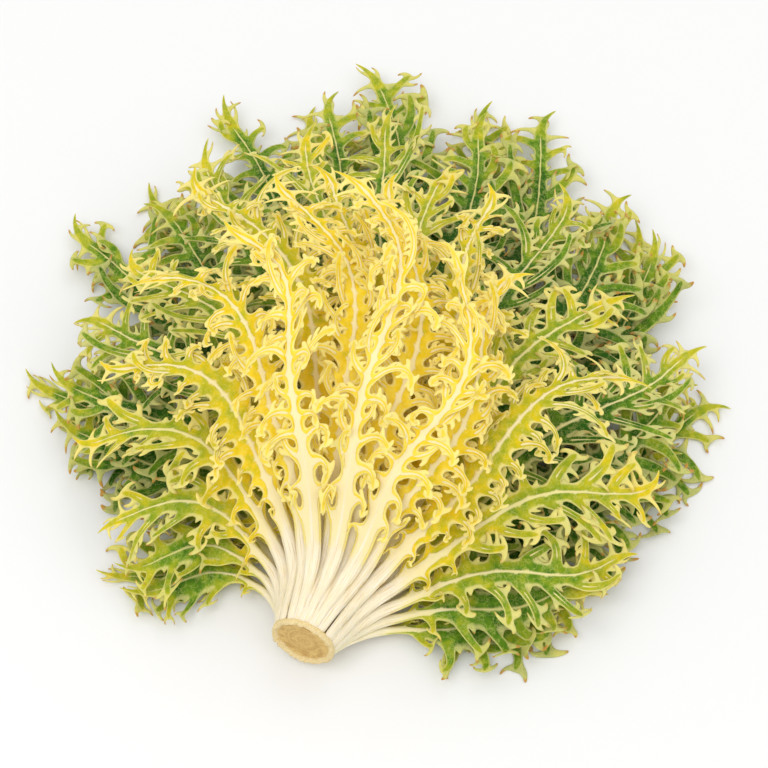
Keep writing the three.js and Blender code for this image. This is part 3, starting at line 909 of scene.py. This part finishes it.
def stemFinish():
    finish = Finish("endive_cut_stem")
    place = finish.attribute("facePlace", "Vector")
    flatPlace = finish.wire("ShaderNodeVectorMath", dict(operation="MULTIPLY"), {0: place, 1: (1, 1, 0)})
    radius = finish.wire("ShaderNodeVectorMath", dict(operation="LENGTH"), {0: flatPlace}, "Value")
    wander = finish.noise(place, cutLook["wanderScale"], 4.0, 0.65)
    fine = finish.noise(place, cutLook["fineScale"], 3.0, 0.7)
    ringPlace = radius * cutLook["ringStep"] + wander * cutLook["ringWander"]
    ringSpace = finish.wire("ShaderNodeCombineXYZ", {},
                            {0: ringPlace, 1: wander * cutLook["ringDrift"], 2: 0.0})
    rings = finish.noise(ringSpace, 1.0, 3.0, 0.6)
    brown = finish.blend(finish.between(rings, *cutLook["brownFades"]),
                         tint(cutLook["brownDark"]), tint(cutLook["brown"]))
    worn = finish.between(fine, *cutLook["ochreFades"]) * cutLook["ochreStrength"]
    brown = finish.blend(worn, brown, tint(cutLook["ochre"]))
    rim = finish.blend(finish.between(fine, *cutLook["rimFades"]),
                       tint(cutLook["ochre"]), tint(cutLook["rimPale"]))
    onRim = finish.between(radius + (wander - 0.5) * cutLook["rimWander"],
                           cutFace["faceRadius"] + cutLook["rimFrom"],
                           cutFace["faceRadius"] + cutLook["rimTo"])
    colour = finish.blend(onRim, brown, rim)
    height = rings * cutLook["ringHeight"] + fine * cutLook["fineHeight"]
    return finish.surface({
        "Base Color": colour, "Roughness": cutLook["roughness"] + rings * cutLook["ringRoughness"],
        "Normal": finish.bump(height, cutLook["bump"], cutLook["bumpDepth"]),
        "Specular IOR Level": cutLook["specular"],
    })


makeStem()
print("stem made")


# The table, the light and the camera

tableLook = dict(halfSize=4, colour=(0.86, 0.86, 0.855, 1), roughness=0.7, speckle=30.0,
                 speckleRoughness=0.1)


def makeTable():
    bm = bmesh.new()
    bmesh.ops.create_grid(bm, x_segments=1, y_segments=1, size=tableLook["halfSize"])
    table = pieceOf("pale_table", bm)
    finish = Finish("pale_table")
    place = finish.wire("ShaderNodeTexCoord", {}, {}, "Object")
    speckle = finish.noise(place, tableLook["speckle"])
    table.data.materials.append(finish.surface({
        "Base Color": tableLook["colour"],
        "Roughness": tableLook["roughness"] + speckle * tableLook["speckleRoughness"],
    }))


# Lights stand round the origin: degrees from the near side toward +X, metres and watts
lights = [
    dict(name="key_light", azimuth=-35, elevation=62, distance=1.6, size=1.1, power=7),
    dict(name="fill_light", azimuth=70, elevation=50, distance=1.8, size=1.4, power=3),
    dict(name="back_light", azimuth=170, elevation=55, distance=1.8, size=1.2, power=3),
]

sky = dict(colour=(1, 1, 1, 1), strength=0.82)


def directionOf(azimuth, elevation):
    turn = math.radians(azimuth)
    rise = math.radians(elevation)
    return Vector((math.sin(turn) * math.cos(rise), -math.cos(turn) * math.cos(rise), math.sin(rise)))


def addLight(name, azimuth, elevation, distance, size, power):
    light = bpy.data.lights.new(name, "AREA")
    light.shape = "DISK"
    light.size = size
    light.energy = power
    lamp = bpy.data.objects.new(name, light)
    direction = directionOf(azimuth, elevation)
    lamp.location = direction * distance
    lamp.rotation_euler = direction.to_track_quat("Z", "Y").to_euler()
    bpy.context.collection.objects.link(lamp)


# The camera's picture: millimetres of the head to a pixel, and the pixel of the stem's centre
camera = dict(azimuth=10, elevation=60, lens=100, sensor=36, farthest=20, imageSize=768, scale=0.435,
              stemAt=(310, 628))


def addCamera():
    turn = math.radians(camera["azimuth"])
    back = directionOf(camera["azimuth"], camera["elevation"])
    right = Vector((math.cos(turn), math.sin(turn), 0))
    up = back.cross(right)
    distance = camera["lens"] / camera["sensor"] * camera["imageSize"] * camera["scale"]
    half = camera["imageSize"] / 2
    spot = (stemCentre + back * distance - right * (camera["stemAt"][0] - half) * camera["scale"]
            - up * (half - camera["stemAt"][1]) * camera["scale"])
    lens = bpy.data.cameras.new("table_camera")
    lens.lens = camera["lens"]
    lens.sensor_width = camera["sensor"]
    lens.clip_end = camera["farthest"]
    holder = bpy.data.objects.new("table_camera", lens)
    holder.matrix_world = (Matrix.Translation(spot * mm)
                           @ Matrix((right, up, back)).transposed().to_4x4())
    bpy.context.collection.objects.link(holder)
    bpy.context.scene.camera = holder


makeTable()
for light in lights:
    addLight(**light)
world = bpy.data.worlds.new("soft_white")
world.use_nodes = True
background = world.node_tree.nodes["Background"]
background.inputs["Color"].default_value = sky["colour"]
background.inputs["Strength"].default_value = sky["strength"]
bpy.context.scene.world = world
bpy.context.scene.view_settings.view_transform = "Standard"
addCamera()
print("table, light and camera set")
